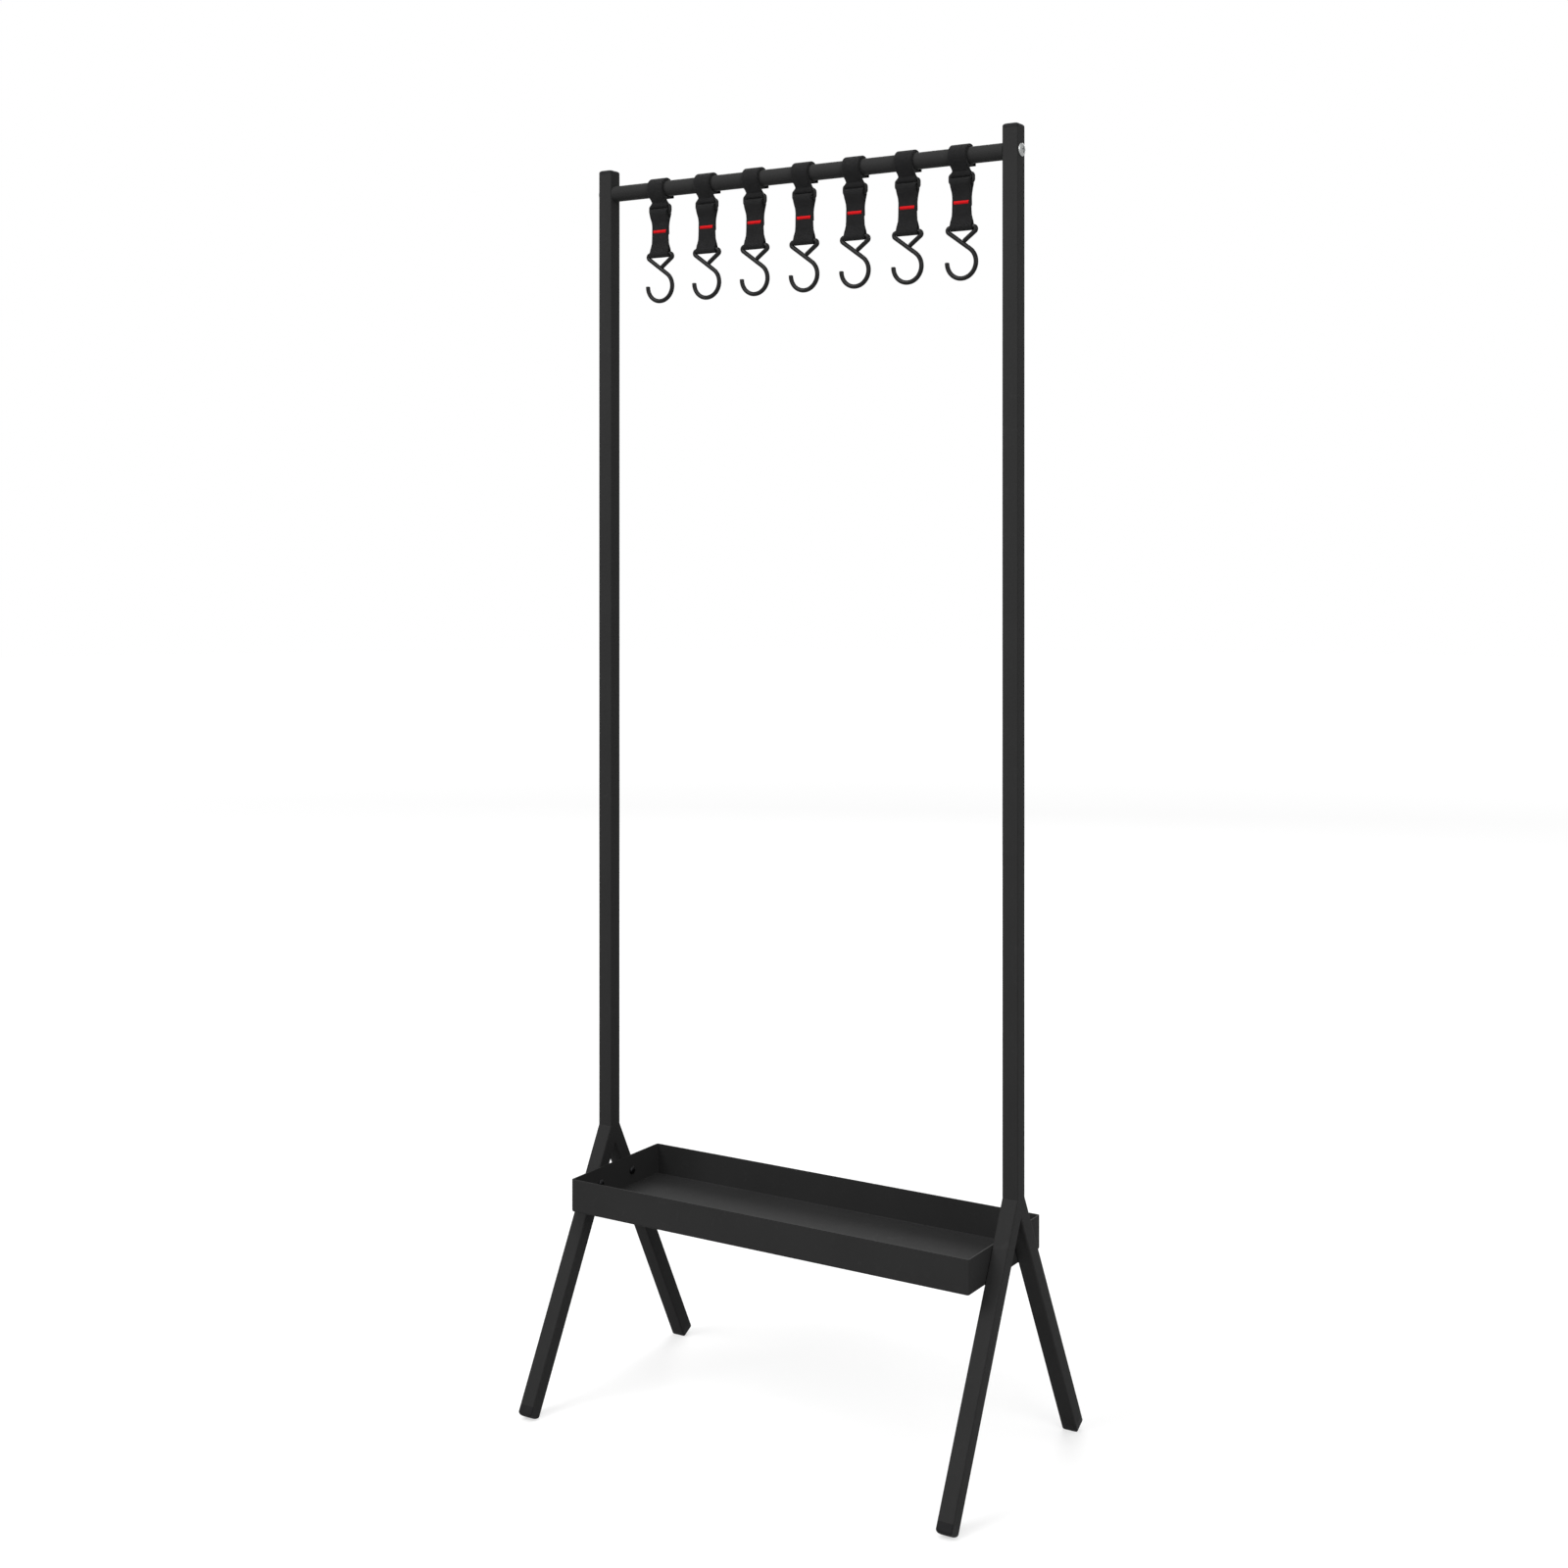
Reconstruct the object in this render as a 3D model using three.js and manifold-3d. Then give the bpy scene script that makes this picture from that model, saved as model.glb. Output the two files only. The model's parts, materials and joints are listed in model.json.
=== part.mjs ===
// A free-standing racket display stand: two side frames of square tube, each a post on two splayed legs,
// joined by a round hanging bar and a shallow sheet-metal tray. A row of webbing hooks slides on the bar.
// Each hook is a webbing loop, a wire ring, a sewn lower strap with its bar tack, and a bent wire S-hook.
// Millimetres, +Z up, the front towards -Y. The origin is on the floor, in the middle of the stand.
import * as THREE from "three";
import { mergeVertices } from "three/addons/utils/BufferGeometryUtils.js";
import Module from "manifold-3d";

const wasm = await Module();
wasm.setup();

// Whole stand
const standHeight = 1173;
const frameSpacing = 435; // between the middles of the two side frames
const fitGap = 0.3; // between a piece and what it sits in or runs on
const eyeGap = 0.2; // between a fold of webbing and the wire inside it
const cutOverrun = 5; // how far a cutting solid runs past what it cuts

// Square tube of the side frames
const tubeSize = 15;
const tubeWall = 1.2;
const tubeCorner = 1.5;
const tubeInnerCorner = 0.6;
const footSpread = 252.1; // between the centrelines of a side frame's two legs, at the floor
const apexHeight = 242.6; // where those centrelines meet, in the middle of the post

// Plastic ends of the tubes
const crownHeight = 4; // the part of a post plug that shows
const crownEdge = 2.6;
const plugStem = 11;
const footCapHeight = 9.5;
const footCapEdge = 3.4;
const footCapStem = 20;
const soleDepth = 0.5; // how deep the level sole is cut into a foot cap's rounded inner edge

// Hanging bar and its bolts
const barDrop = 23; // from the top of the stand to the bar's centreline
const barDiameter = 15;
const barWall = 1.2;
const insertLength = 24;
const boltShank = 6;
const boltReach = 36; // from the post's outer face to the tip
const boltHead = 12.4;
const boltHeadHeight = 3.6;

// Cross recess and rim of a pan head, as shares of the head's diameter and height
const recessSpanShare = 0.58;
const recessWidthShare = 0.13;
const recessDepthShare = 0.5;
const headRimShare = 0.25;

// Tray
const trayDepth = 140;
const trayHeight = 30.8;
const trayUnderside = 178.2; // above the floor
const traySheet = 1.2;
const trayInnerBend = 0.8;
const trayScrewShank = 4;
const trayScrewReach = 12;
const trayScrewHead = 8;
const trayScrewHeadHeight = 2.4;

// Row of hooks
const hookCount = 7;
const hookPitch = 54;
const rowShift = 5.4; // the row hangs a little to the right of the middle

// Webbing loop round the bar, two layers thick, with its free end hanging behind the bar. Its neck comes down
// from the front of the bar to the ring. The angles are about the bar's or the fold's centre.
const loopWebbing = 1.3;
const loopWidth = 17.5;
const loopNeck = 2.4;
const neckFrontAngle = THREE.MathUtils.degToRad(37); // below the horizontal, in front
const neckBackAngle = THREE.MathUtils.degToRad(97); // below the horizontal, behind
const neckFrontFold = THREE.MathUtils.degToRad(40); // above the horizontal, in front
const neckBackFold = THREE.MathUtils.degToRad(75); // above the horizontal, behind
const tailAngle = THREE.MathUtils.degToRad(28); // below the horizontal, where the free end leaves the loop
const tailDrop = 8.1; // from the bar's centreline to the cut end

// Rectangular wire ring
const ringWire = 2.8;
const ringCorner = 2.2;
const ringSidePlay = 0.6;
const foldGap = 0.3; // between the two webbing folds inside the ring

// Lower strap, two layers of webbing sewn together at the waist
const strapWebbing = 1.1;
const ringFoldWebbing = 2.7; // the webbing is doubled round the ring
const strapWidth = 18.8;
const waistWidth = 16.9;
const strapReach = 39.1; // from the ring's lower bar to the S-hook's top bar
const strapEye = 9; // how far below a fold's centre the two layers meet

// Half-width of the strap along its length: a share of the reach, and a share of the way out from the waist
const strapOutlineShares = [
  [-0.2, 1],
  [0.1, 1],
  [0.16, 0.85],
  [0.22, 0.45],
  [0.28, 0.12],
  [0.35, 0],
  [0.62, 0],
  [0.72, 0.15],
  [0.82, 0.5],
  [0.91, 0.88],
  [0.97, 1],
  [1.2, 1],
];

// Bar tack through the waist
const tackWidth = 15.6;
const tackHeight = 3;
const tackProud = 0.5;
const tackCoreHeight = 1.2;
const tackDrop = 17.6; // below the ring's lower bar

// S-hook of round wire
const hookWire = 4;
const hookShoulder = 2; // bare bar beside the strap, before the corner starts
const hookCorner = 2.4;
const legAngle = THREE.MathUtils.degToRad(36.7); // the short leg's rise from its cut end to the right corner
const bowlRadius = 14.2;
const bowlShift = -0.3; // the bowl's centre, to the side of the top bar's middle
const bowlDrop = 30.8; // the bowl's centre, below the top bar
const tipRadiusShare = 0.7;

// Counts of facets
const cornerSteps = 3;
const edgeSteps = 3;
const barSides = 24;
const screwSides = 14;
const domeSteps = 3;
const wireSides = 8;
const foldSteps = 8;
const hookCornerSteps = 4;
const bowlSteps = 12;

// Worked out from the sizes above
const halfTube = tubeSize / 2;
const halfSpread = footSpread / 2;
const legSlope = halfSpread / apexHeight;
const legTilt = Math.atan(legSlope);
const legLength = Math.hypot(halfSpread, apexHeight);
const cornerReach = halfTube * Math.sin(legTilt) + footCapEdge * (1 - Math.sin(legTilt) - Math.cos(legTilt));
const legEndHeight = cornerReach - soleDepth; // the middle of a foot cap's end, which is square to the leg
const jointHeight = (halfSpread + halfTube / Math.cos(legTilt) - halfTube) / legSlope;
const postTop = standHeight - crownHeight;
const barHeight = standHeight - barDrop;
const innerFace = frameSpacing / 2 - halfTube; // of a side frame, towards the middle of the stand
const trayScrewHeight = trayUnderside + trayHeight / 2;
const trayScrewPlace = halfSpread - legSlope * trayScrewHeight;
const loopBore = barDiameter / 2 + fitGap;
const loopOuter = loopBore + 2 * loopWebbing;
const ringEye = ringWire / 2 + eyeGap;
const loopFold = ringEye + loopWebbing;
const strapFold = ringEye + ringFoldWebbing;
const ringTop = -(loopOuter + loopNeck + loopFold); // the ring's upper bar, from the hanging bar's centreline
const ringPitch = loopFold + strapFold + foldGap;
const ringHalfWidth = Math.max(strapWidth, loopWidth) / 2 + ringSidePlay + ringWire / 2;
const hookEye = hookWire / 2 + eyeGap;
const hookFold = hookEye + strapWebbing;

const charcoalPaint = new THREE.MeshStandardMaterial({ color: 0x343435, roughness: 0.55, metalness: 0.1 });
const blackPlastic = new THREE.MeshStandardMaterial({ color: 0x1f1f20, roughness: 0.6, metalness: 0 });
const zincPlate = new THREE.MeshStandardMaterial({ color: 0xb9bcbb, roughness: 0.35, metalness: 0.9 });
const blackZinc = new THREE.MeshStandardMaterial({ color: 0x242424, roughness: 0.4, metalness: 0.6 });
const blackWebbing = new THREE.MeshStandardMaterial({ color: 0x1e1e1f, roughness: 0.9, metalness: 0 });
const redThread = new THREE.MeshStandardMaterial({ color: 0xcf1d22, roughness: 0.7, metalness: 0 });
const blackWire = new THREE.MeshStandardMaterial({ color: 0x141414, roughness: 0.4, metalness: 0.3 });

// Closed surfaces and solids

// A closed surface through rings of points. Each ring runs counter-clockwise about the way onward.
function skin(rings, looped = false) {
  const count = rings[0].length;
  const spans = looped ? rings.length : rings.length - 1;
  const index = [];
  for (let span = 0; span < spans; span++) {
    const here = span * count;
    const next = ((span + 1) % rings.length) * count;
    for (let side = 0; side < count; side++) {
      const other = (side + 1) % count;
      index.push(here + side, here + other, next + other);
      index.push(here + side, next + other, next + side);
    }
  }
  const last = (rings.length - 1) * count;
  for (let side = 1; side < count - 1 && !looped; side++) {
    index.push(0, side + 1, side);
    index.push(last, last + side, last + side + 1);
  }
  const places = rings.flat().flatMap((point) => point.toArray());
  const surface = new THREE.BufferGeometry();
  surface.setAttribute("position", new THREE.Float32BufferAttribute(places, 3));
  surface.setIndex(index);
  return surface;
}

function solidOf(geometry) {
  const bare = geometry.clone();
  bare.deleteAttribute("normal");
  bare.deleteAttribute("uv");
  const merged = mergeVertices(bare);
  const vertProperties = merged.attributes.position.array;
  const triVerts = new Uint32Array(merged.index.array);
  return new wasm.Manifold(new wasm.Mesh({ numProp: 3, vertProperties, triVerts }));
}

function geometryOf(solid) {
  const mesh = solid.getMesh();
  const surface = new THREE.BufferGeometry();
  surface.setAttribute("position", new THREE.BufferAttribute(mesh.vertProperties, 3));
  surface.setIndex(new THREE.BufferAttribute(mesh.triVerts, 1));
  return surface;
}

function cut(base, tools) {
  return geometryOf(tools.reduce((solid, tool) => solid.subtract(solidOf(tool)), solidOf(base)));
}

function common(first, second) {
  return geometryOf(solidOf(first).intersect(solidOf(second)));
}

// A box between two corners.
function box(low, high) {
  const size = high.clone().sub(low);
  return new THREE.BoxGeometry(size.x, size.y, size.z).translate(
    (low.x + high.x) / 2,
    (low.y + high.y) / 2,
    (low.z + high.z) / 2,
  );
}

// A cylinder along X, from one place to another.
function rodAlongX(radius, from, to, y, z) {
  const rod = new THREE.CylinderGeometry(radius, radius, to - from, screwSides);
  return rod.rotateZ(Math.PI / 2).translate((from + to) / 2, y, z);
}

// A profile drawn in Y and Z, pushed out along X, half to each side.
function acrossX(outline, width) {
  const block = new THREE.ExtrudeGeometry(outline, { depth: width, bevelEnabled: false });
  const turn = new THREE.Matrix4().makeBasis(
    new THREE.Vector3(0, 1, 0),
    new THREE.Vector3(0, 0, 1),
    new THREE.Vector3(1, 0, 0),
  );
  return block.translate(0, 0, -width / 2).applyMatrix4(turn);
}

// A profile drawn in X and Z, pushed out along Y, half to each side.
function acrossY(outline, width) {
  const block = new THREE.ExtrudeGeometry(outline, { depth: width, bevelEnabled: false });
  return block.translate(0, 0, -width / 2).rotateX(Math.PI / 2);
}

// A horizontal rectangle with rounded corners, as a ring of points.
function roundedRing(halfX, halfY, corner, z, shiftY = 0) {
  const ring = [];
  for (let quarter = 0; quarter < 4; quarter++) {
    const sideX = quarter === 0 || quarter === 3 ? 1 : -1;
    const sideY = quarter < 2 ? 1 : -1;
    for (let step = 0; step <= cornerSteps; step++) {
      const angle = ((quarter + step / cornerSteps) * Math.PI) / 2;
      const x = sideX * (halfX - corner) + corner * Math.cos(angle);
      const y = sideY * (halfY - corner) + corner * Math.sin(angle);
      ring.push(new THREE.Vector3(x, y + shiftY, z));
    }
  }
  return ring;
}

// The steps of a rounded edge, from its flat end to its wall: how far in, and how far along.
function edgeRounding(radius) {
  return Array.from({ length: edgeSteps + 1 }, (_, step) => {
    const angle = ((step / edgeSteps) * Math.PI) / 2;
    return { inset: radius * (1 - Math.sin(angle)), along: radius * (1 - Math.cos(angle)) };
  });
}

// Points of an arc in the plane of a profile.
function arcPoints(centre, radius, from, to, steps) {
  return Array.from({ length: steps + 1 }, (_, step) => {
    const angle = from + ((to - from) * step) / steps;
    return new THREE.Vector2(centre.x + radius * Math.cos(angle), centre.y + radius * Math.sin(angle));
  });
}

// Side frames

function squareTube(length) {
  const section = new THREE.Shape(roundedRing(halfTube, halfTube, tubeCorner, 0));
  const halfBore = halfTube - tubeWall;
  section.holes.push(new THREE.Path(roundedRing(halfBore, halfBore, tubeInnerCorner, 0)));
  return new THREE.ExtrudeGeometry(section, { depth: length, bevelEnabled: false });
}

function post() {
  const tube = squareTube(postTop - jointHeight).translate(0, 0, jointHeight);
  const reach = halfTube + cutOverrun;
  return cut(tube, [rodAlongX(boltShank / 2 + fitGap, -reach, reach, 0, barHeight)]);
}

// Tilts a piece drawn about a leg's lower end and puts it in its place in the side frame.
function alongLeg(geometry, front) {
  const y = -front * (halfSpread - legSlope * legEndHeight);
  return geometry.rotateX(-front * legTilt).translate(0, y, legEndHeight);
}

// A leg is cut square where its foot cap goes in. Its upper end is cut level under the post, and upright
// where it meets the other leg. Its screw hole is in the wall that faces the tray.
function leg(front, inward) {
  const tube = alongLeg(squareTube(legLength).translate(0, 0, footCapHeight), front);
  const outer = -front * (halfSpread + tubeSize + cutOverrun);
  const keep = box(
    new THREE.Vector3(-tubeSize, Math.min(outer, 0), -cutOverrun),
    new THREE.Vector3(tubeSize, Math.max(outer, 0), jointHeight),
  );
  const wallEnds = [inward * (halfTube + cutOverrun), inward * (halfTube - 2 * tubeWall)];
  const hole = rodAlongX(
    trayScrewShank / 2 + fitGap,
    Math.min(...wallEnds),
    Math.max(...wallEnds),
    -front * trayScrewPlace,
    trayScrewHeight,
  );
  return cut(common(tube, keep), [hole]);
}

// A square plug for a tube's lower end: a crown with rounded edges from the origin up, and a stem on it.
function tubePlug(crown, edge, stem) {
  const rings = edgeRounding(edge).map(({ inset, along }) => {
    const half = halfTube - inset;
    return roundedRing(half, half, (tubeCorner * half) / halfTube, along);
  });
  const halfStem = halfTube - tubeWall - fitGap;
  rings.push(roundedRing(halfTube, halfTube, tubeCorner, crown - fitGap));
  rings.push(roundedRing(halfStem, halfStem, tubeInnerCorner, crown - fitGap));
  rings.push(roundedRing(halfStem, halfStem, tubeInnerCorner, crown + stem));
  return skin(rings);
}

function postPlug() {
  return tubePlug(crownHeight, crownEdge, plugStem).rotateX(Math.PI).translate(0, 0, standHeight);
}

// The cap is square to the leg, so it stands on its inner edge, which has a narrow level sole.
function footCap(front) {
  const cap = alongLeg(tubePlug(footCapHeight, footCapEdge, footCapStem), front);
  const reach = halfSpread + 2 * tubeSize;
  const floor = box(new THREE.Vector3(-tubeSize, -reach, -cutOverrun), new THREE.Vector3(tubeSize, reach, 0));
  return cut(cap, [floor]);
}

// Bar, fasteners and tray

function hangingBar() {
  const section = new THREE.Shape(arcPoints(new THREE.Vector2(), barDiameter / 2, 0, 2 * Math.PI, barSides));
  const bore = barDiameter / 2 - barWall;
  section.holes.push(new THREE.Path(arcPoints(new THREE.Vector2(), bore, 0, 2 * Math.PI, barSides)));
  return acrossX(section, 2 * innerFace);
}

// A turned piece about Z. The profile holds pairs of radius and height.
function turned(profile) {
  const points = profile.map(([radius, height]) => new THREE.Vector2(radius, height));
  return new THREE.LatheGeometry(points, screwSides).rotateX(Math.PI / 2);
}

// A threaded sleeve pressed into the end of the bar. Its outer end is at the origin.
function barInsert() {
  const outer = barDiameter / 2 - barWall - fitGap;
  const bore = boltShank / 2 + fitGap;
  return turned([
    [bore, -insertLength],
    [outer, -insertLength],
    [outer, 0],
    [bore, 0],
    [bore, -insertLength],
  ]);
}

// A screw with a domed head and a cross recess. The head sits on the origin, and the shank points down.
function panScrew(shank, reach, head, headHeight) {
  const rim = headHeight * headRimShare;
  const dome = [];
  for (let step = 0; step <= domeSteps; step++) {
    const angle = ((step / domeSteps) * Math.PI) / 2;
    dome.push([(head / 2) * Math.cos(angle), rim + (headHeight - rim) * Math.sin(angle)]);
  }
  dome[domeSteps][0] = 0;
  const body = turned([
    [0, -reach],
    [shank / 4, -reach],
    [shank / 2, -reach + shank / 4],
    [shank / 2, 0],
    [head / 2, 0],
    ...dome,
  ]);
  const span = (head * recessSpanShare) / 2;
  const width = (head * recessWidthShare) / 2;
  const floor = headHeight * (1 - recessDepthShare);
  const top = headHeight + cutOverrun;
  return cut(body, [
    box(new THREE.Vector3(-span, -width, floor), new THREE.Vector3(span, width, top)),
    box(new THREE.Vector3(-width, -span, floor), new THREE.Vector3(width, span, top)),
  ]);
}

// The tray is folded from one sheet: outside from the bottom to the rim, then inside down to the floor.
function tray() {
  const halfX = innerFace;
  const halfY = trayDepth / 2;
  const outerBend = trayInnerBend + traySheet;
  const rim = trayUnderside + trayHeight;
  const rings = edgeRounding(outerBend).map(({ inset, along }) =>
    roundedRing(halfX - inset, halfY - inset, outerBend, trayUnderside + along),
  );
  rings.push(roundedRing(halfX, halfY, outerBend, rim));
  rings.push(roundedRing(halfX - traySheet, halfY - traySheet, trayInnerBend, rim));
  for (const { inset, along } of edgeRounding(trayInnerBend).reverse()) {
    const inward = traySheet + inset;
    rings.push(roundedRing(halfX - inward, halfY - inward, trayInnerBend, trayUnderside + traySheet + along));
  }
  const holes = [];
  for (const side of [-1, 1]) {
    for (const y of [-trayScrewPlace, trayScrewPlace]) {
      const ends = [side * (innerFace - cutOverrun), side * (innerFace + cutOverrun)];
      const radius = trayScrewShank / 2 + fitGap;
      holes.push(rodAlongX(radius, Math.min(...ends), Math.max(...ends), y, trayScrewHeight));
    }
  }
  return cut(skin(rings), holes);
}

// Webbing hooks. Each piece is drawn about its own pivot.

// A webbing profile in Y and Z about the hanging bar's centreline. The inner layer hugs the bar, and the
// outer layer ends in the tail behind it.
function strapLoop() {
  const middle = new THREE.Vector2();
  const foldCentre = new THREE.Vector2(0, ringTop);
  const tailInner = loopOuter - loopWebbing;
  const outline = new THREE.Shape([
    ...arcPoints(foldCentre, loopFold, -Math.PI - neckFrontFold, neckBackFold, foldSteps),
    ...arcPoints(middle, tailInner, -neckBackAngle, -tailAngle, foldSteps),
    new THREE.Vector2(tailInner, -tailDrop),
    new THREE.Vector2(loopOuter, -tailDrop),
    ...arcPoints(middle, loopOuter, 0, Math.PI + neckFrontAngle, 2 * foldSteps),
  ]);
  outline.holes.push(new THREE.Path(arcPoints(middle, loopBore, 0, 2 * Math.PI, barSides)));
  outline.holes.push(new THREE.Path(arcPoints(foldCentre, ringEye, 0, 2 * Math.PI, foldSteps)));
  return acrossX(outline, loopWidth);
}

// A place on a wire's centreline in X and Z, with the heading of the wire there.
function station(x, z, heading) {
  return { x, z, heading };
}

// Stations round a bend, counter-clockwise for a turn of 1 and clockwise for -1.
function bend(centreX, centreZ, radius, from, to, steps, turn) {
  return arcPoints(new THREE.Vector2(centreX, centreZ), radius, from, to, steps).map((place, step) =>
    station(place.x, place.y, from + ((to - from) * step) / steps + (turn * Math.PI) / 2),
  );
}

// The round section of a wire at a station.
function wireSection({ x, z, heading }, radius) {
  return Array.from({ length: wireSides }, (_, side) => {
    const angle = (side / wireSides) * 2 * Math.PI;
    const across = radius * Math.cos(angle);
    const y = -radius * Math.sin(angle);
    return new THREE.Vector3(x - across * Math.sin(heading), y, z + across * Math.cos(heading));
  });
}

// A rounded rectangle of wire about its upper bar's centreline.
function linkRing() {
  const places = [
    [1, 0],
    [-1, 0],
    [-1, -1],
    [1, -1],
  ];
  const stations = places.flatMap(([sideX, lower], corner) => {
    const centreX = sideX * (ringHalfWidth - ringCorner);
    const centreZ = lower ? ringCorner - ringPitch : -ringCorner;
    const from = (corner * Math.PI) / 2;
    return bend(centreX, centreZ, ringCorner, from, from + Math.PI / 2, cornerSteps, 1);
  });
  return skin(
    stations.map((place) => wireSection(place, ringWire / 2)),
    true,
  );
}

// Where a line from a point below a circle's centre touches the circle, as an angle below the horizontal.
function tangentAngle(radius, reach) {
  return Math.asin(radius / reach);
}

// An eye for a wire: an arc over it, closed by a point where the two layers of webbing meet.
function strapEyePath(centreZ, radius, upward) {
  const open = tangentAngle(radius, strapEye);
  const arc = arcPoints(new THREE.Vector2(), radius, -open, Math.PI + open, foldSteps);
  const points = [...arc, new THREE.Vector2(0, -strapEye)];
  return new THREE.Path(points.map((point) => new THREE.Vector2(point.x, centreZ + upward * point.y)));
}

// A webbing profile in Y and Z about the ring's lower bar, trimmed to the waisted outline in X and Z.
// The slot in the waist is for the bar tack.
function lowerStrap() {
  const topOpen = tangentAngle(ringEye, strapEye);
  const lowOpen = tangentAngle(hookEye, strapEye);
  const lowCentre = new THREE.Vector2(0, -strapReach);
  const profile = new THREE.Shape([
    ...arcPoints(new THREE.Vector2(), strapFold, -topOpen, Math.PI + topOpen, foldSteps),
    new THREE.Vector2(-strapWebbing, -strapEye),
    new THREE.Vector2(-strapWebbing, strapEye - strapReach),
    ...arcPoints(lowCentre, hookFold, Math.PI - lowOpen, 2 * Math.PI + lowOpen, foldSteps),
    new THREE.Vector2(strapWebbing, strapEye - strapReach),
    new THREE.Vector2(strapWebbing, -strapEye),
  ]);
  profile.holes.push(strapEyePath(0, ringEye, 1));
  profile.holes.push(strapEyePath(-strapReach, hookEye, -1));
  const edge = strapOutlineShares.map(([along, outward]) => {
    const half = (waistWidth + (strapWidth - waistWidth) * outward) / 2;
    return new THREE.Vector2(half, -strapReach * along);
  });
  const otherEdge = edge.map((point) => new THREE.Vector2(-point.x, point.y)).reverse();
  const outline = new THREE.Shape([...edge, ...otherEdge]);
  const strap = common(acrossX(profile, strapWidth), acrossY(outline, 2 * hookFold + cutOverrun));
  return cut(strap, [tackBlock(tackWidth / 2, strapWebbing + cutOverrun, tackCoreHeight / 2 + fitGap, 0)]);
}

// A block about the bar tack's middle, in the lower strap's frame.
function tackBlock(halfX, halfY, halfZ, shiftY) {
  return box(
    new THREE.Vector3(-halfX, shiftY - halfY, -tackDrop - halfZ),
    new THREE.Vector3(halfX, shiftY + halfY, -tackDrop + halfZ),
  );
}

// Thread on both faces of the waist, joined by the stitches that pass through it.
function barTack() {
  const halfProud = tackProud / 2;
  const faces = [-1, 1].map((side) =>
    solidOf(tackBlock(tackWidth / 2, halfProud, tackHeight / 2, side * (strapWebbing + halfProud))),
  );
  const core = solidOf(tackBlock(tackWidth / 2 - fitGap, strapWebbing + halfProud, tackCoreHeight / 2, 0));
  return geometryOf(core.add(faces[0]).add(faces[1]));
}

// The heading of the straight that leaves a counter-clockwise corner and enters the clockwise bowl.
function crossingHeading(from, fromRadius, to, toRadius) {
  const way = to.clone().sub(from);
  return Math.atan2(way.y, way.x) + Math.asin((fromRadius + toRadius) / way.length());
}

// The wire starts at the cut end of the short leg, goes up to the right corner, along the top bar, round the
// left corner, down the long straight past the short leg's end, and round the bowl to the tip.
function sHook() {
  const cornerX = strapWidth / 2 + hookShoulder;
  const leftCorner = new THREE.Vector2(-cornerX, -hookCorner);
  const rightCorner = new THREE.Vector2(cornerX, -hookCorner);
  const bowl = new THREE.Vector2(bowlShift, -bowlDrop);
  const heading = crossingHeading(leftCorner, hookCorner, bowl, bowlRadius);
  const along = new THREE.Vector2(Math.cos(heading), Math.sin(heading));
  const legWay = new THREE.Vector2(Math.cos(legAngle), Math.sin(legAngle));
  const legTop = new THREE.Vector2(legWay.y, -legWay.x).multiplyScalar(hookCorner).add(rightCorner);
  const straightTop = new THREE.Vector2(along.y, -along.x).multiplyScalar(hookCorner).add(leftCorner);
  const meeting = legAngle - heading;
  const clear = (hookWire / 2) * (1 + Math.cos(meeting)) + fitGap;
  const rise = legTop.clone().sub(straightTop).cross(along) / legWay.cross(along);
  const legEnd = legTop.clone().addScaledVector(legWay, clear / Math.sin(meeting) - rise);
  const quarter = Math.PI / 2;
  const stations = [
    station(legEnd.x, legEnd.y, legAngle),
    ...bend(cornerX, -hookCorner, hookCorner, legAngle - quarter, quarter, hookCornerSteps, 1),
    ...bend(-cornerX, -hookCorner, hookCorner, quarter, heading + 3 * quarter, hookCornerSteps, 1),
    ...bend(bowlShift, -bowlDrop, bowlRadius, heading + quarter, -Math.PI, bowlSteps, -1),
  ];
  const rings = stations.map((place) => wireSection(place, hookWire / 2));
  const bevel = (hookWire / 2) * (1 - tipRadiusShare);
  const tip = station(bowlShift - bowlRadius, -bowlDrop + bevel, quarter);
  rings.push(wireSection(tip, (hookWire / 2) * tipRadiusShare));
  return skin(rings);
}

// The stand

const stand = new THREE.Group();

function addPiece(parent, name, geometry, material, x = 0, y = 0, z = 0) {
  const mesh = new THREE.Mesh(geometry.index ? geometry.toNonIndexed() : geometry, material);
  mesh.geometry.computeVertexNormals();
  mesh.name = name;
  mesh.position.set(x, y, z);
  parent.add(mesh);
  return mesh;
}

const frameSides = { left: -1, right: 1 };
const legEnds = { front: 1, back: -1 };

for (const [sideName, side] of Object.entries(frameSides)) {
  const frame = new THREE.Group();
  frame.position.x = (side * frameSpacing) / 2;
  stand.add(frame);
  addPiece(frame, `${sideName}_post`, post(), charcoalPaint);
  addPiece(frame, `${sideName}_post_plug`, postPlug(), blackPlastic);
  for (const [endName, front] of Object.entries(legEnds)) {
    addPiece(frame, `${sideName}_${endName}_leg`, leg(front, -side), charcoalPaint);
    addPiece(frame, `${sideName}_${endName}_foot_cap`, footCap(front), blackPlastic);
  }
}

addPiece(stand, "hanging_bar", hangingBar(), charcoalPaint, 0, 0, barHeight);
addPiece(stand, "tray", tray(), charcoalPaint);

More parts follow.
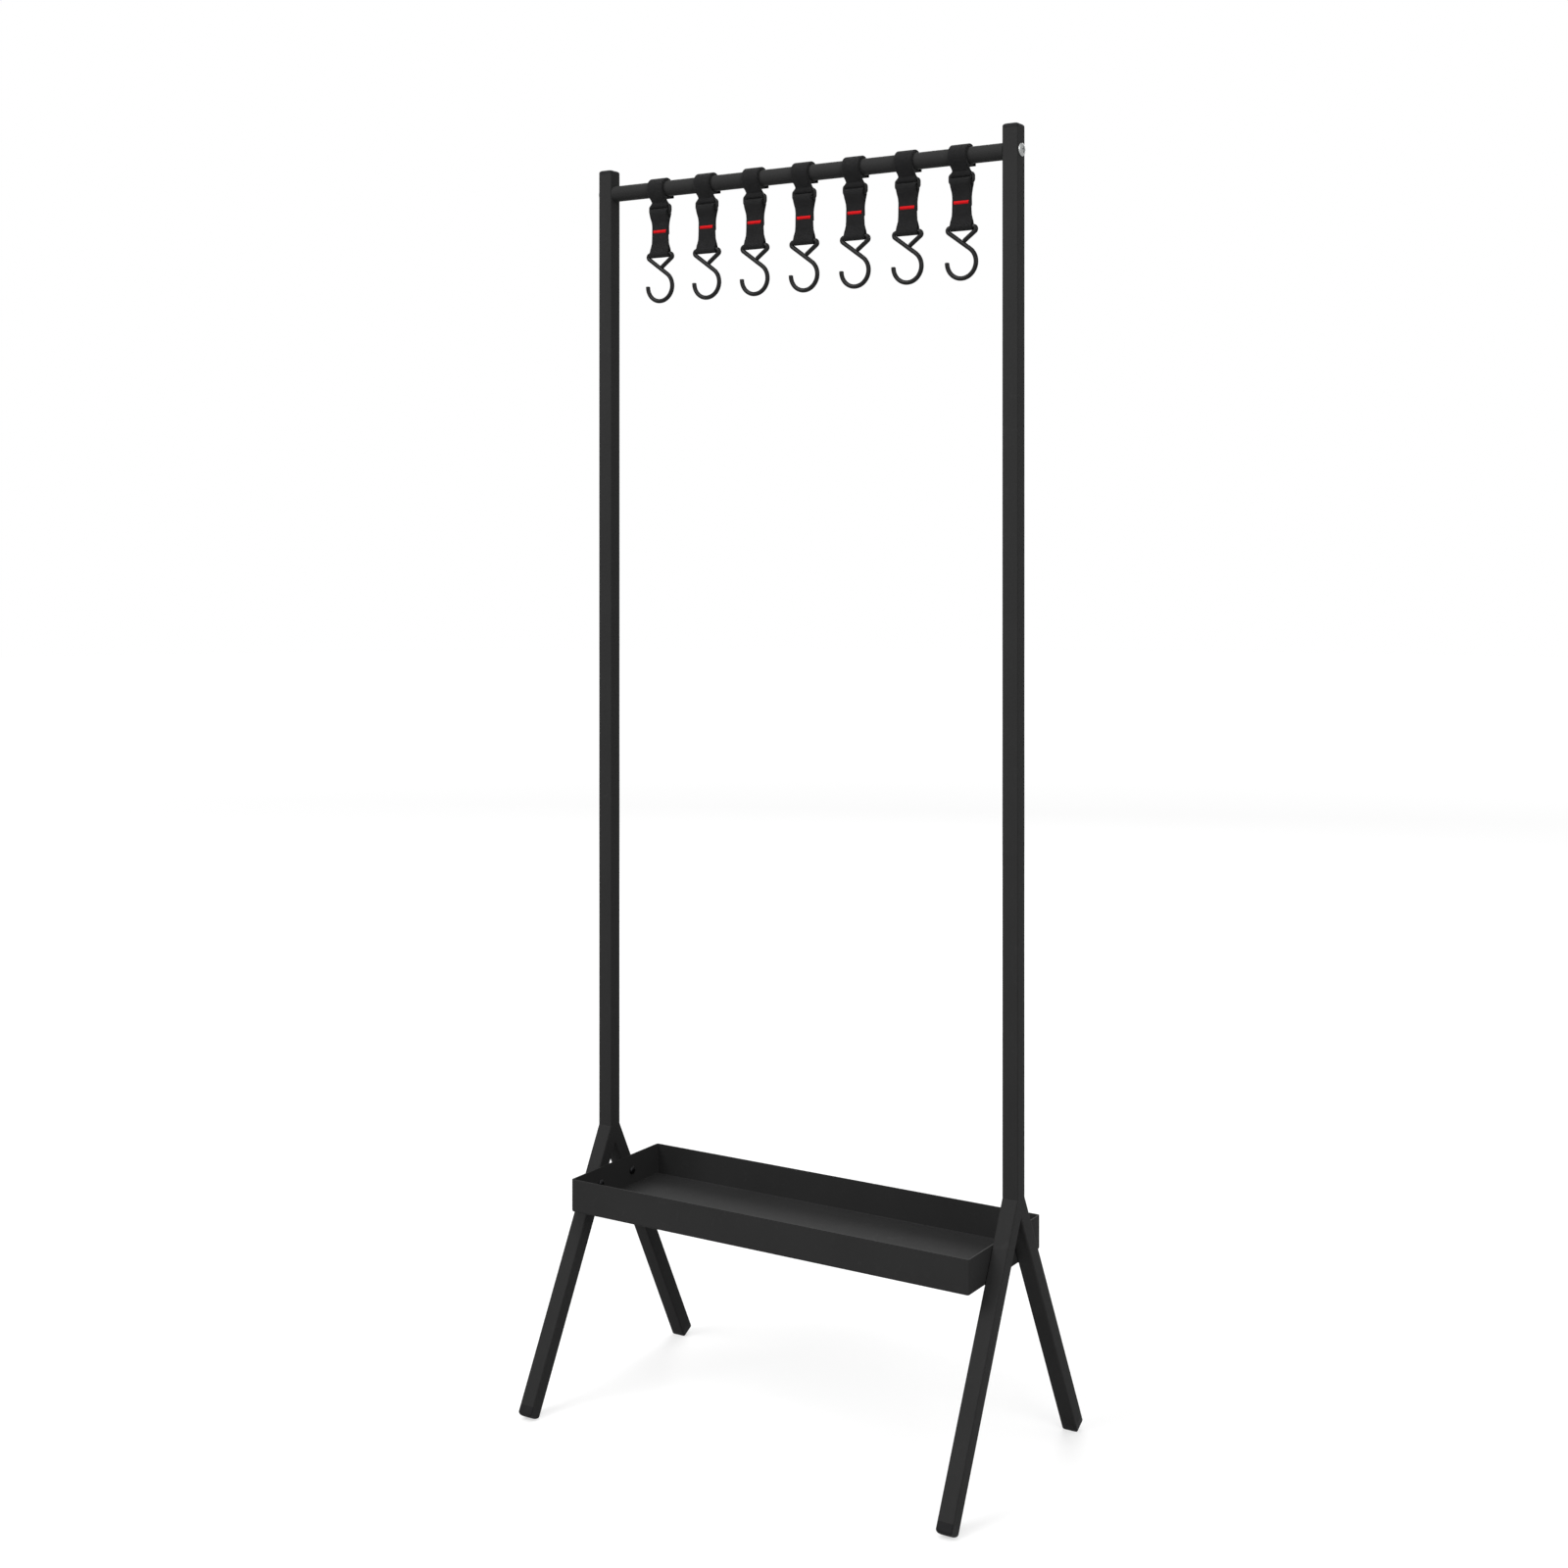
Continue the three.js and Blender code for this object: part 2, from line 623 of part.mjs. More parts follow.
for (const [sideName, side] of Object.entries(frameSides)) {
  const outward = (side * Math.PI) / 2;
  const outerFace = side * (innerFace + tubeSize);
  const insertFace = side * (innerFace - fitGap);
  const bolt = panScrew(boltShank, boltReach, boltHead, boltHeadHeight);
  addPiece(stand, `${sideName}_bar_bolt`, bolt, zincPlate, outerFace, 0, barHeight).rotation.y = outward;
  const insert = addPiece(stand, `${sideName}_bar_insert`, barInsert(), zincPlate, insertFace, 0, barHeight);
  insert.rotation.y = outward;
  for (const [endName, front] of Object.entries(legEnds)) {
    const screw = panScrew(trayScrewShank, trayScrewReach, trayScrewHead, trayScrewHeadHeight);
    const name = `${sideName}_${endName}_tray_screw`;
    const x = side * (innerFace - traySheet);
    const fitted = addPiece(stand, name, screw, blackZinc, x, -front * trayScrewPlace, trayScrewHeight);
    fitted.rotation.y = -outward;
  }
}

for (let number = 1; number <= hookCount; number++) {
  const hook = new THREE.Group();
  hook.position.set(rowShift + hookPitch * (number - (hookCount + 1) / 2), 0, barHeight);
  stand.add(hook);
  const strapTop = ringTop - ringPitch;
  addPiece(hook, `strap_loop_${number}`, strapLoop(), blackWebbing);
  addPiece(hook, `link_ring_${number}`, linkRing(), blackWire, 0, 0, ringTop);
  addPiece(hook, `lower_strap_${number}`, lowerStrap(), blackWebbing, 0, 0, strapTop);
  addPiece(hook, `bar_tack_${number}`, barTack(), redThread, 0, 0, strapTop);
  addPiece(hook, `s_hook_${number}`, sHook(), blackWire, 0, 0, strapTop - strapReach);
}

export default stand;
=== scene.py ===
# A racket display stand of charcoal square tube, with webbing hooks on a round bar over a
# shallow tray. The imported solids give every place. The webbing and its stitches, the wires, the
# screws and the moulded ends of the tubes are modelled here.
import json
import math

import bmesh
import bpy
from mathutils import Matrix, Vector


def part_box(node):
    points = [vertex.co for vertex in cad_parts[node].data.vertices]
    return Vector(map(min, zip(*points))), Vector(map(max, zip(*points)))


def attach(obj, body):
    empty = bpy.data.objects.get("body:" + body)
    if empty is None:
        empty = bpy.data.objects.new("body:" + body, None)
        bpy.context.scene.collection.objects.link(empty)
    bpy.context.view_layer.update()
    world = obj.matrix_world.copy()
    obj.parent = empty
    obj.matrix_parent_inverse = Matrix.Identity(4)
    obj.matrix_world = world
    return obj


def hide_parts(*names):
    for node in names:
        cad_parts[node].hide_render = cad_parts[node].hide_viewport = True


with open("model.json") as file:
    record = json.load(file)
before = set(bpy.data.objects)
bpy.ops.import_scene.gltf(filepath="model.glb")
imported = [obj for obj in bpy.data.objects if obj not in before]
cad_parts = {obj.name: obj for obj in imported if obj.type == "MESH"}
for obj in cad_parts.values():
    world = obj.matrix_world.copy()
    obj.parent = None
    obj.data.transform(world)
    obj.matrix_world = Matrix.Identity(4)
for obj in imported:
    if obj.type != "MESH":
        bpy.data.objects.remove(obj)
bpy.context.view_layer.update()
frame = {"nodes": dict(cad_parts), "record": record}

MM = 0.001
HOOKS = range(1, 8)
SIDES = ("left", "right")
ENDS = ("front", "back")

# Webbing loop round the hanging bar, in millimetres from the bar's centreline
LOOP_WIDTH = 17.5
LOOP_THICKNESS = 1.2
LOOP_STEPS = 150
INNER_LAYER = 8.45
OUTER_LAYER = 9.75
RING_TOP = -15.7
RING_FOLD = 2.4
TAIL_END = -8.1
NECK_WIDTH = 16.9
NECK_BOTTOM = (-1.71, -13.43)
NECK_TOP = (-7.8, -5.85)
NECK_DEPTH = 1.32
NECK_CREASE = 0.7

# How far the neck's width goes back from NECK_WIDTH to LOOP_WIDTH, by level. Its foot is wider
# than the loop and fills the ring.
NECK_SHARES = ((-15.5, 4.0), (-12.3, 0.0), (-11.0, 0.0), (-8.4, 1.0))

# Wire ring, in millimetres from the middle of its upper bar
RING_WIRE = 1.6
RING_HALF_WIDTH = 11.4
RING_PITCH = 7.5
RING_CORNER = 2.2

# Lower strap, in millimetres from the middle of the ring's lower bar
STRAP_THICKNESS = 1.05
STRAP_LAYER = 1.1
STRAP_STEPS = 170
INNER_WRAP = 2.15
OUTER_WRAP = 4.08
HOOK_WRAP_GAP = 0.75
STRAP_WIDTH = 19.5
WAIST_WIDTH = 18.1
STRAP_REACH = 39.1
STRAP_UNEVENNESS = 0.14

# The strap's width by level, as a share of its reach
STRAP_WIDTHS = (
    (-1.0, 21.3), (-0.96, 21.4), (-0.88, 21.2), (-0.8, 20.2), (-0.72, 19.1), (-0.62, 18.5),
    (-0.45, 18.3), (-0.34, WAIST_WIDTH), (-0.25, 18.5), (-0.2, 18.8), (-0.16, 19.1),
    (-0.1, STRAP_WIDTH), (0.0, STRAP_WIDTH),
)

# Bar tack of paired stitches through the strap's waist, in millimetres
TACK_DROP = 17.6
TACK_WIDTH = 15.2
STITCH_RADIUS = 0.3
STITCH_LENGTH = 2.7
STITCH_RISE = 0.42
STITCH_GAP = 0.56
STITCH_LEAN = 0.09
PAIR_PITCH = 1.12

# S-hook, in millimetres from the middle of its top bar
HOOK_WIRE = 2.12
HOOK_SHOULDER = 11.4
HOOK_CORNER = 2.4
HOOK_LEG_ANGLE = 36.7
HOOK_END_GAP = -0.5
BOWL_CENTRE = (-0.3, -30.8)
BOWL_RADIUS = 14.2

# The short leg's cut end is eased in two steps, and the bowl's tip is rounded in four. The tip's
# radii are drawn for a wire of TIP_WIRE.
CUT_STEPS = (0.12, 0.3)
CUT_INSETS = (0.4, 0.1, 0)
TIP_WIRE = 2.0
TIP_STEPS = ((0.25, 1.86), (0.2, 1.62), (0.14, 1.25), (0.05, 0.7))

# Moulded ends of the square tubes, in millimetres. A plug and a cap each have a crown's height,
# the radius of its edge and a stem's length.
TUBE_HALF = 7.5
TUBE_CORNER = 1.5
STEM_HALF = 6
STEM_CORNER = 0.6
CORNER_GROWTH = 0.35
PLUG = (4, 2.3, 11)
FOOT_CAP = (9.48, 3.4, 20)
STAND_HEIGHT = 1173
LEG_TILT = 27.4555
CAP_PLACE = (125.1286, 1.7733)

# Screws, in millimetres: the head's width and height, the shank's diameter and its reach. A seat
# is where the head's underside lies, from the middle of the stand.
BAR_BOLT = (11.7, 2.4, 6, 36)
TRAY_SCREW = (8, 2.4, 4, 12)
BOLT_SEAT = 225
TRAY_SCREW_SEAT = 208.8
RIM_SHARE = 0.25
RECESS_SPAN_SHARE = 0.58
RECESS_WIDTH_SHARE = 0.13
RECESS_FLOOR_SHARE = 0.72

# Coated tubes and sheet, in millimetres
EASED_EDGE = 0.15
TRAY_EDGE = 0.3

# Weave of the webbing, in millimetres
RIB_WIDTH = 1.15
YARN_PITCH = 0.62
YARN_SLANT = 0.85

# Studio, in metres and watts: each lamp's place, size and power
WORLD_LEVEL = 0.26
FLOOR_RADIUS = 14
FLOOR_SHADE = 0.45
NEAR_GLOW = 0.6
FAR_GLOW = 0.95
GLOW_RANGE = (1.0, 7.0)
LAMP_AIM = (0, 0, 0.6)
LAMPS = {
    "key": ((-1.2, -2.7, 2.9), 2.2, 94),
    "fill": ((2.6, -1.6, 1.8), 1.8, 40),
    "top": ((0.2, -0.6, 3.6), 2.6, 38),
    "back": ((-1.2, 2.7, 2.4), 2.2, 60),
}
CAMERA_PLACE = (1.0069, -1.6380, 0.8103)
CAMERA_TURN = 32
CAMERA_SENSOR = 36
CAMERA_LENS = 47.96
CAMERA_SHIFT = -0.1536


# Selecting and shaping


def pick(piece):
    bpy.ops.object.select_all(action="DESELECT")
    piece.select_set(True)
    bpy.context.view_layer.objects.active = piece


def enter(piece, select="SELECT"):
    pick(piece)
    bpy.ops.object.mode_set(mode="EDIT")
    bpy.ops.mesh.select_all(action=select)


def leave():
    bpy.ops.object.mode_set(mode="OBJECT")


def select_vertices(piece, wanted):
    """In edit mode, selects the vertices whose place passes the test."""
    mesh = bmesh.from_edit_mesh(piece.data)
    for vertex in mesh.verts:
        vertex.select_set(bool(wanted(vertex.co)))
    mesh.select_flush_mode()
    bmesh.update_edit_mesh(piece.data)


def finish_with(piece, kind, **settings):
    """Adds a modifier with its settings and applies it."""
    pick(piece)
    modifier = piece.modifiers.new(kind.title(), kind)
    for name, value in settings.items():
        setattr(modifier, name, value)
    bpy.ops.object.modifier_apply(modifier=modifier.name)


def settle(piece):
    """Puts the object's place and turn into its mesh."""
    pick(piece)
    bpy.ops.object.transform_apply(location=True, rotation=True, scale=True)


def smooth(piece, angle):
    pick(piece)
    bpy.ops.object.shade_smooth_by_angle(angle=math.radians(angle))


def named(piece, name):
    piece.name = piece.data.name = name
    return piece


def close_up(piece):
    """Merges doubles and turns the faces outwards."""
    enter(piece)
    bpy.ops.mesh.remove_doubles(threshold=0.01 * MM)
    bpy.ops.mesh.normals_make_consistent(inside=False)
    leave()


# Round wire, drawn in X and Z with headings in degrees


def start_wire(name, radius, sides, place, heading, fill="NGON"):
    bpy.ops.object.select_all(action="DESELECT")
    bpy.ops.mesh.primitive_circle_add(
        vertices=sides,
        radius=radius * MM,
        fill_type=fill,
        location=(place[0] * MM, 0, place[1] * MM),
        rotation=(0, math.radians(90 - heading), 0),
    )
    wire = named(bpy.context.object, name)
    settle(wire)
    enter(wire)
    return wire


def run_straight(length, heading):
    way = math.radians(heading)
    step = (length * MM * math.cos(way), 0, length * MM * math.sin(way))
    bpy.ops.mesh.extrude_region_move(TRANSFORM_OT_translate={"value": step})


def run_bend(centre, degrees, steps):
    """Turns the wire's end about a centre, counter-clockwise from the front for positive degrees.

    With no window the spin turns left-handed about its axis.
    """
    middle = (centre[0] * MM, 0, centre[1] * MM)
    axis = (0, 1 if degrees > 0 else -1, 0)
    bpy.ops.mesh.spin(steps=steps, angle=math.radians(abs(degrees)), center=middle, axis=axis)


def taper(scale):
    bpy.ops.transform.resize(value=(scale, scale, scale))


def model_ring():
    half = RING_HALF_WIDTH - RING_CORNER
    low = RING_CORNER - RING_PITCH
    ring = start_wire("ring_pattern", RING_WIRE, 16, (-half, 0), 180, fill="NOTHING")
    run_bend((-half, -RING_CORNER), 90, 6)
    run_straight(RING_PITCH - 2 * RING_CORNER, 270)
    run_bend((-half, low), 90, 6)
    run_straight(2 * half, 0)
    run_bend((half, low), 90, 6)
    run_straight(RING_PITCH - 2 * RING_CORNER, 90)
    run_bend((half, -RING_CORNER), 90, 6)
    run_straight(2 * half, 180)
    leave()
    close_up(ring)
    smooth(ring, 60)
    return ring


def crossing_heading():
    """The heading of the straight from the hook's left corner into its bowl."""
    x = BOWL_CENTRE[0] + HOOK_SHOULDER
    z = BOWL_CENTRE[1] + HOOK_CORNER
    lean = math.asin((HOOK_CORNER + BOWL_RADIUS) / math.hypot(x, z))
    return math.degrees(math.atan2(z, x) + lean)


def short_leg_length(heading):
    """How far the short leg runs before it meets the long straight, less its clearance."""
    leg = Vector((math.cos(math.radians(HOOK_LEG_ANGLE)), math.sin(math.radians(HOOK_LEG_ANGLE))))
    along = Vector((math.cos(math.radians(heading)), math.sin(math.radians(heading))))
    leg_top = Vector((leg.y, -leg.x)) * HOOK_CORNER + Vector((HOOK_SHOULDER, -HOOK_CORNER))
    left_corner = Vector((-HOOK_SHOULDER, -HOOK_CORNER))
    across = leg_top - (Vector((along.y, -along.x)) * HOOK_CORNER + left_corner)
    rise = (across.x * along.y - across.y * along.x) / (leg.x * along.y - leg.y * along.x)
    meeting = math.radians(HOOK_LEG_ANGLE - heading)
    clear = HOOK_WIRE * (1 + math.cos(meeting)) + HOOK_END_GAP
    return leg_top, rise - clear / math.sin(meeting)


def model_hook():
    heading = crossing_heading()
    leg_top, leg_length = short_leg_length(heading)
    way = math.radians(HOOK_LEG_ANGLE)
    start = leg_top - Vector((math.cos(way), math.sin(way))) * leg_length
    radius = HOOK_WIRE - CUT_INSETS[0]
    hook = start_wire("hook_pattern", radius, 20, start, HOOK_LEG_ANGLE)
    for length, inset in zip(CUT_STEPS, CUT_INSETS[1:]):
        run_straight(length, HOOK_LEG_ANGLE)
        taper((HOOK_WIRE - inset) / radius)
        radius = HOOK_WIRE - inset
    run_straight(leg_length - sum(CUT_STEPS), HOOK_LEG_ANGLE)
    run_bend((HOOK_SHOULDER, -HOOK_CORNER), 180 - HOOK_LEG_ANGLE, 10)
    run_straight(2 * HOOK_SHOULDER, 180)
    run_bend((-HOOK_SHOULDER, -HOOK_CORNER), 180 + heading, 10)
    corner = Vector((-HOOK_SHOULDER, -HOOK_CORNER))
    reach = math.hypot(BOWL_CENTRE[0] - corner.x, BOWL_CENTRE[1] - corner.y)
    run_straight(math.sqrt(reach**2 - (HOOK_CORNER + BOWL_RADIUS) ** 2), heading)
    run_bend(BOWL_CENTRE, -(heading + 270), 40)
    before = TIP_WIRE
    for length, radius in TIP_STEPS:
        run_straight(length, 90)
        taper(radius / before)
        before = radius
    leave()
    close_up(hook)
    smooth(hook, 50)
    return hook


# Webbing, modelled flat and then bent along a path


def arc(centre, radius, start, end, steps):
    """Points of an arc in Y and Z, in millimetres and degrees."""
    turns = [math.radians(start + (end - start) * step / steps) for step in range(steps + 1)]
    y, z = centre
    return [(y + radius * math.cos(turn), z + radius * math.sin(turn)) for turn in turns]


def draw_path(name, points):
    """A smooth flat curve through points. Its X and Y stand for the stand's Y and Z."""
    curve = bpy.data.curves.new(name, "CURVE")
    curve.dimensions = "2D"
    curve.resolution_u = 8
    line = curve.splines.new("BEZIER")
    line.bezier_points.add(len(points) - 1)
    for knot, (y, z) in zip(line.bezier_points, points):
        knot.co = (y * MM, z * MM, 0)
        knot.handle_left_type = knot.handle_right_type = "AUTO"
    path = bpy.data.objects.new(name, curve)
    bpy.context.collection.objects.link(path)
    return path, line.calc_length() / MM


def flat_webbing(name, length, width, thickness, steps):
    """A flat band along X with rounded woven edges. Its map is in centimetres, along and across."""
    bpy.ops.object.select_all(action="DESELECT")
    bpy.ops.mesh.primitive_grid_add(
        x_subdivisions=steps,
        y_subdivisions=10,
        size=1,
        location=(length / 2 * MM, 0, 0),
        rotation=(math.pi / 2, 0, 0),
    )
    band = named(bpy.context.object, name)
    band.scale = (length * MM, width * MM, 1)
    settle(band)
    weave = band.data.uv_layers.active
    for loop in band.data.loops:
        place = band.data.vertices[loop.vertex_index].co
        weave.data[loop.index].uv = (place.x * 100, place.z * 100)
    finish_with(band, "SOLIDIFY", thickness=thickness * MM, offset=0)
    finish_with(
        band,
        "BEVEL",
        width=0.3 * MM,
        segments=2,
        limit_method="ANGLE",
        angle_limit=math.radians(50),
        use_clamp_overlap=False,
    )
    return band


def bend_along(band, path):
    """Bends a flat band along a path and stands it up in the hook's frame."""
    finish_with(band, "CURVE", object=path, deform_axis="POS_X")
    curve = path.data
    bpy.data.objects.remove(path)
    bpy.data.curves.remove(curve)
    band.matrix_world = Matrix(((0, 0, 1, 0), (1, 0, 0, 0), (0, 1, 0, 0), (0, 0, 0, 1)))
    settle(band)


def rumple(band, strength, size):
    """The small unevenness of sewn cloth."""
    cloth = bpy.data.textures.new(band.name, "CLOUDS")
    cloth.noise_scale = size * MM
    finish_with(
        band,
        "DISPLACE",
        texture=cloth,
        strength=strength * MM,
        mid_level=0.5,
        texture_coords="LOCAL",
    )


def width_share(table, level):
    """Reads a share from a table of levels and shares, with soft steps between its rows."""
    for (low, before), (high, after) in zip(table, table[1:]):
        if low <= level <= high:
            blend = (level - low) / (high - low)
            blend = blend * blend * (3 - 2 * blend)
            return before + (after - before) * blend
    return table[0][1] if level < table[0][0] else table[-1][1]


def draw_in(band, table, least):
    """Narrows a bent band. Where the table says 0, its width is the least share of the full one."""
    for vertex in band.data.vertices:
        share = width_share(table, vertex.co.z / MM)
        vertex.co.x *= least + (1 - least) * share


def gather(band, table, depth):
    """Turns a band's long edges back where it is drawn in, with a soft crease beside each."""
    half = LOOP_WIDTH / 2
    for vertex in band.data.vertices:
        drawn = max(0, 1 - width_share(table, vertex.co.z / MM))
        out = abs(vertex.co.x / MM) / half
        crease = math.exp(-(((out - 0.62) / 0.1) ** 2))
        vertex.co.y += depth * MM * drawn * (out**4 + 0.4 * crease)


def model_loop():
    """One strip: round the bar, down the neck, round the ring, up, over the bar again and a tail."""
    bottom, top = Vector(NECK_BOTTOM), Vector(NECK_TOP)
    back = Vector((0.78, 0.626)) * NECK_DEPTH
    neck = [bottom.lerp(top, share) for share in (0, 0.25, 0.5, 0.75)]
    points = arc((0, 0), INNER_LAYER, -118, 212, 26)
    points += [tuple(place + back) for place in reversed(neck[1:])]
    points += arc((0, RING_TOP), RING_FOLD, 75, -205, 14)
    points += [tuple(place) for place in neck]
    points += arc((0, 0), OUTER_LAYER, 212, 0, 20)
    points += [(OUTER_LAYER, level) for level in (-2, -4, -6, TAIL_END)]
    path, length = draw_path("loop_path", points)
    loop = flat_webbing("loop_pattern", length, LOOP_WIDTH, LOOP_THICKNESS, LOOP_STEPS)
    bend_along(loop, path)
    draw_in(loop, NECK_SHARES, NECK_WIDTH / LOOP_WIDTH)
    gather(loop, NECK_SHARES, NECK_CREASE)
    smooth(loop, 50)
    return loop


def model_strap():
    """One band, wound twice over the ring's lower bar and once under the S-hook's top bar.

    Its inner end is tucked in above the waist, and its outer end lies behind, under the tack.
    """
    front, middle, behind = (STRAP_LAYER * layer for layer in (-0.5, 0.5, 1.5))
    foot = (0, -STRAP_REACH)
    points = [(-0.74, -6.4), (-1.25, -4.8), (-1.85, -3)]
    points += arc((0, 0), INNER_WRAP, 205, -25, 14)
    points += [(1.5, -3.4), (1.05, -5.6), (0.72, -7.8)]
    points += [(middle, level) for level in (-10, -12.5, -16, -20, -25, -30)]
    points += arc(foot, HOOK_WIRE + HOOK_WRAP_GAP, 14, -194, 14)
    points += [(front, level) for level in (-30, -26, -22, -18, -14.5, -12)]
    points += [(front - 0.12, -10.2), (front - 0.45, -8.4), (front - 1.1, -6.6)]
    points += arc((0, 0), OUTER_WRAP, 200, -18, 16)
    points += [(2.85, -4.2), (2.3, -6.8), (1.86, -9.4)]
    points += [(behind, level) for level in (-12, -14.5, -17.5, -TACK_DROP - 3)]
    path, length = draw_path("strap_path", points)
    strap = flat_webbing("strap_pattern", length, STRAP_WIDTH, STRAP_THICKNESS, STRAP_STEPS)
    bend_along(strap, path)
    spare = STRAP_WIDTH - WAIST_WIDTH
    outline = [
        (STRAP_REACH * along, (width - WAIST_WIDTH) / spare) for along, width in STRAP_WIDTHS
    ]
    draw_in(strap, outline, WAIST_WIDTH / STRAP_WIDTH)
    rumple(strap, STRAP_UNEVENNESS, 5)
    smooth(strap, 50)
    return strap


def model_tack():
    """A dense zigzag of thread over the waist, in front and on the end that lies behind."""
    radius = (STITCH_LENGTH**2 / 4 + STITCH_RISE**2) / (2 * STITCH_RISE)
    sweep = 2 * math.degrees(math.asin(STITCH_LENGTH / 2 / radius))
    middle = -(STRAP_LAYER + 0.02) - STITCH_RISE + radius
    bpy.ops.object.select_all(action="DESELECT")
    way = math.radians(90 - sweep / 2)
    start = (middle - radius * math.sin(way), -TACK_DROP - radius * math.cos(way))
    bpy.ops.mesh.primitive_circle_add(
        vertices=7,
        radius=STITCH_RADIUS * MM,
        fill_type="NGON",
        location=(0, start[0] * MM, start[1] * MM),
        rotation=(math.radians(-sweep / 2), 0, 0),
    )
    tack = named(bpy.context.object, "tack_pattern")
    settle(tack)
    enter(tack)
    bpy.ops.mesh.spin(
        steps=7,
        angle=math.radians(sweep),
        center=(0, middle * MM, -TACK_DROP * MM),
        axis=(1, 0, 0),
    )
    bpy.ops.mesh.select_all(action="SELECT")
    bpy.ops.mesh.duplicate()
    bpy.ops.transform.translate(value=(STITCH_GAP * MM, 0, 0))
    leave()
    slant_stitches(tack)
    close_up(tack)
    count = int(TACK_WIDTH / PAIR_PITCH)
    finish_with(
        tack,
        "ARRAY",
        count=count,
        use_relative_offset=False,
        use_constant_offset=True,
        constant_offset_displace=(PAIR_PITCH * MM, 0, 0),
    )
    shift = (-PAIR_PITCH * (count - 1) - STITCH_GAP) / 2
    tack.data.transform(Matrix.Translation((shift * MM, 0, 0)))
    tack.data.transform(Matrix.Translation((0, -STRAP_LAYER / 2 * MM, 0)))
    finish_with(tack, "MIRROR", use_axis=(False, True, False), use_mirror_merge=False)
    tack.data.transform(Matrix.Translation((0, STRAP_LAYER / 2 * MM, 0)))
    smooth(tack, 60)
    return tack


def slant_stitches(tack):
    """Leans the two stitches of a pair against each other."""
    for vertex in tack.data.vertices:
        side = 1 if vertex.co.x > STITCH_GAP / 2 * MM else -1
        vertex.co.x += side * STITCH_LEAN * (vertex.co.z + TACK_DROP * MM)


# Metal parts taken over from the solids


def dressed(node, name, edge=EASED_EDGE, angle=30):
    """A merged copy of a CAD node, with its sharp edges eased and its rounded ones smooth."""
    piece = bpy.data.objects.new(name, frame["nodes"][node].data.copy())
    named(piece, name)
    bpy.context.collection.objects.link(piece)
    piece.data.materials.clear()
    enter(piece)
    bpy.ops.mesh.remove_doubles(threshold=0.005 * MM)
    bpy.ops.mesh.customdata_custom_splitnormals_clear()
    bpy.ops.mesh.dissolve_limited(angle_limit=math.radians(0.5))
    leave()
    finish_with(
        piece,
        "BEVEL",
        width=edge * MM,
        segments=2,
        limit_method="ANGLE",
        angle_limit=math.radians(50),
        use_clamp_overlap=True,
    )
    smooth(piece, angle)
    finish_with(piece, "WEIGHTED_NORMAL", keep_sharp=True, weight=80)
    return piece


# Moulded plugs and foot caps


def square_reach(turn, half, corner):
    """How far a square with rounded corners reaches from its middle in a direction."""
    near, far = sorted((abs(math.cos(turn)), abs(math.sin(turn))))
    middle = half - corner
    if half * near <= middle * far:
        return half / far
    both = middle * (near + far)
    return both + math.sqrt(both**2 - 2 * middle**2 + corner**2)


def crowd_corners(turn):
    """Moves evenly spaced directions towards the nearest corner of the square."""
    quarter = math.pi / 2
    base = math.floor(turn / quarter) * quarter
    share = (turn - base) / quarter * 2 - 1
    return base + quarter / 2 * (1 + math.copysign(abs(share) ** 1.7, share))


def model_tube_end(name, crown, edge, stem):
    """A crown with pillowed edges from the origin up, as wide as the tube, and the stem on it."""
    rounding = [math.radians(90 * step / 8) for step in range(9)]
    edges = [(edge * (1 - math.cos(turn)), edge * (1 - math.sin(turn))) for turn in rounding]
    rows = [
        (level, TUBE_HALF - inset, TUBE_CORNER + CORNER_GROWTH * inset) for level, inset in edges
    ]
    rows.append((crown, TUBE_HALF, TUBE_CORNER))
    rows += [(level, STEM_HALF, STEM_CORNER) for level in (crown, crown + stem)]
    bpy.ops.object.select_all(action="DESELECT")
    bpy.ops.mesh.primitive_circle_add(vertices=64, radius=MM, fill_type="NGON")
    end = named(bpy.context.object, name)
    enter(end)
    for _ in rows[1:]:
        bpy.ops.mesh.extrude_region_move(TRANSFORM_OT_translate={"value": (0, 0, MM)})
    leave()
    for vertex in end.data.vertices:
        level, half, corner = rows[round(vertex.co.z / MM)]
        turn = crowd_corners(math.atan2(vertex.co.y, vertex.co.x))
        reach = square_reach(turn, half, corner)
        vertex.co = (reach * math.cos(turn) * MM, reach * math.sin(turn) * MM, level * MM)
    close_up(end)
    smooth(end, 40)
    return end


def cut_sole(cap):
    """Cuts a placed foot cap level with the floor."""
    enter(cap)
    bpy.ops.mesh.bisect(
        plane_co=(0, 0, 0),
        plane_no=(0, 0, -1),
        use_fill=True,
        clear_outer=True,
        threshold=0.001 * MM,
    )
    leave()
    close_up(cap)
    smooth(cap, 40)


# Screw heads


